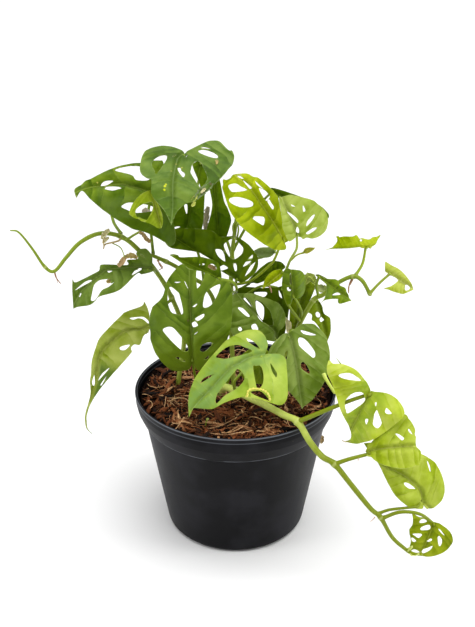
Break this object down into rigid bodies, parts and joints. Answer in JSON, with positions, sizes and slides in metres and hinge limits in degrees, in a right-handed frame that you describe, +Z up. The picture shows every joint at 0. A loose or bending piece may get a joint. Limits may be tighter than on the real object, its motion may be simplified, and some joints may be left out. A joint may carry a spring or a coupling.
{
  "type": "potted trailing vine",
  "caption": "Swiss-cheese vine with pierced heart-shaped leaves on climbing and trailing stems, standing in a round black nursery pot of bark and coir mix.",
  "frame": {"origin": "centre of the pot's underside, on the surface it stands on", "axes": "+Z up; -Y the front of the plant, as pictured; +X to the viewer's right, where the long stem trails over the rim"},
  "size_m": [0.338, 0.2, 0.3349],
  "materials": {
    "coir_mix": "loose coir and bark chips",
    "leaf_dark": "living leaf, satin, dark",
    "leaf_grey_green": "living leaf, satin, grey green",
    "leaf_lime": "living leaf, satin, lime",
    "leaf_mid_green": "living leaf, satin, mid green",
    "leaf_olive": "living leaf, satin, olive",
    "pot_plastic": "moulded black plastic, soft sheen",
    "sheath_straw": "dry papery sheath",
    "vine_lime": "smooth pale green stem",
    "vine_olive": "smooth green stem"
  },
  "bodies": {
    "root": {"leaf_behind_crown": "leaf_dark", "leaf_behind_left": "leaf_dark", "leaf_behind_right": "leaf_dark", "leaf_bud_right": "leaf_olive", "leaf_centre_grey": "leaf_grey_green", "leaf_crown": "leaf_mid_green", "leaf_far_right": "leaf_lime", "leaf_front_left": "leaf_mid_green", "leaf_front_lime": "leaf_lime", "leaf_front_right": "leaf_grey_green", "leaf_left_drooping": "leaf_olive", "leaf_left_middle": "leaf_grey_green", "leaf_left_upper": "leaf_mid_green", "leaf_lime_tip": "leaf_lime", "leaf_lime_upper": "leaf_lime", "leaf_middle_dark": "leaf_dark", "leaf_middle_shade": "leaf_dark", "leaf_olive_back": "leaf_olive", "leaf_pale_right": "leaf_lime", "leaf_right_back": "leaf_mid_green", "leaf_right_small": "leaf_lime", "leaf_rolled_young": "leaf_mid_green", "leaf_ruffled": "leaf_dark", "leaf_slim_back": "leaf_grey_green", "leaf_trailing_1": "leaf_lime", "leaf_trailing_2": "leaf_lime", "leaf_trailing_3": "leaf_lime", "leaf_trailing_4": "leaf_lime", "leaf_under_lime": "leaf_olive", "leaf_under_web": "leaf_dark", "leaf_web": "leaf_dark", "leaf_young_curl": "leaf_lime", "pot": "pot_plastic", "potting_mix": "coir_mix", "sheath_dry": "sheath_straw", "vine_centre": "vine_olive", "vine_left_climbing": "vine_olive", "vine_left_high": "vine_olive", "vine_right_climbing": "vine_olive", "vine_trailing": "vine_lime"}
  },
  "joints": []
}
